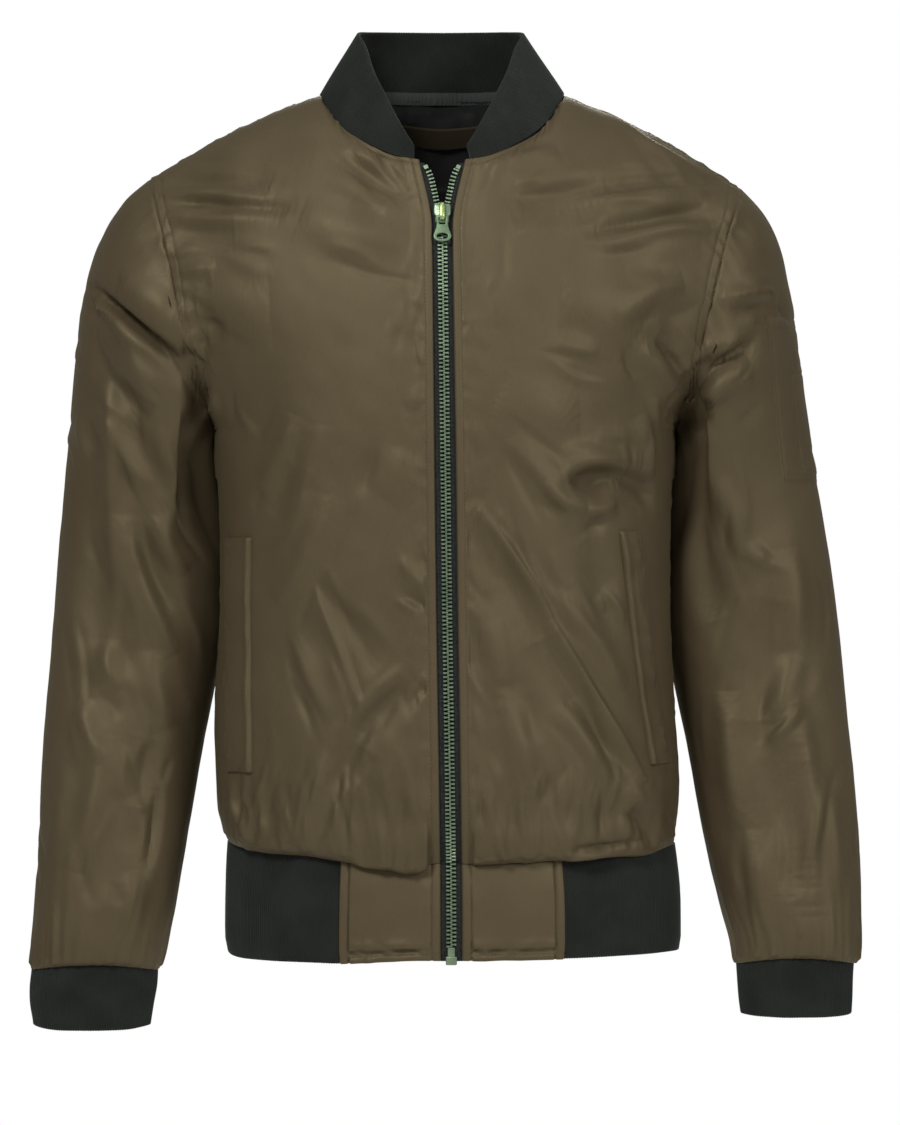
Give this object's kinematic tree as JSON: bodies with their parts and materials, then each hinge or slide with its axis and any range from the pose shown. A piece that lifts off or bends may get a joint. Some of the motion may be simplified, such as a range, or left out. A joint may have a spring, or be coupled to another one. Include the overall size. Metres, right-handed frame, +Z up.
{
  "type": "bomber jacket",
  "caption": "Zipped-up bomber jacket in olive satin with black rib collar, cuffs and waistband, two welt pockets and a sleeve pocket, filled out as if worn.",
  "frame": {"origin": "midway between the two neck points of the shoulder seams, where the wearer's shoulders carry the jacket", "axes": "+Z up, front faces -Y, the wearer's left side is +X"},
  "size_m": [0.656, 0.2608, 0.7935],
  "materials": {
    "shell": "satin weave, olive brown",
    "rib": "matt fine rib knit, black",
    "lining": "glossy satin, black",
    "facing": "satin, dark brown",
    "zip_tape": "matt twill tape, dark grey",
    "zip_metal": "dulled greenish metal",
    "zip_pull_metal": "satin green-painted metal"
  },
  "bodies": {
    "jacket": {"front_right": "shell", "front_left": "shell", "back": "shell", "sleeve_right": "shell", "sleeve_left": "shell", "pocket_welt_right": "shell", "pocket_welt_left": "shell", "sleeve_pocket": "shell", "pen_pocket": "shell", "hem_tab_right": "shell", "hem_tab_left": "shell", "collar": "rib", "cuff_right": "rib", "cuff_left": "rib", "hem_rib": "rib", "lining_back": "lining", "neck_tape": "lining", "lining_band": "facing", "zip_tape_right": "zip_tape", "zip_tape_left": "zip_tape", "zip_chain_right": "zip_metal", "zip_chain_left": "zip_metal", "zip_top_stop_right": "zip_metal", "zip_top_stop_left": "zip_metal", "zip_box": "zip_metal", "zip_slider": "zip_metal"},
    "pull_tab": {"zip_pull": "zip_pull_metal"}
  },
  "joints": [
    {"name": "pull_tab_swing", "type": "hinge", "parent": "jacket", "child": "pull_tab", "pos_m": [-0.00202, -0.1091, -0.09954], "axis": [-1, 0, 0], "range_deg": [0, 135]}
  ]
}
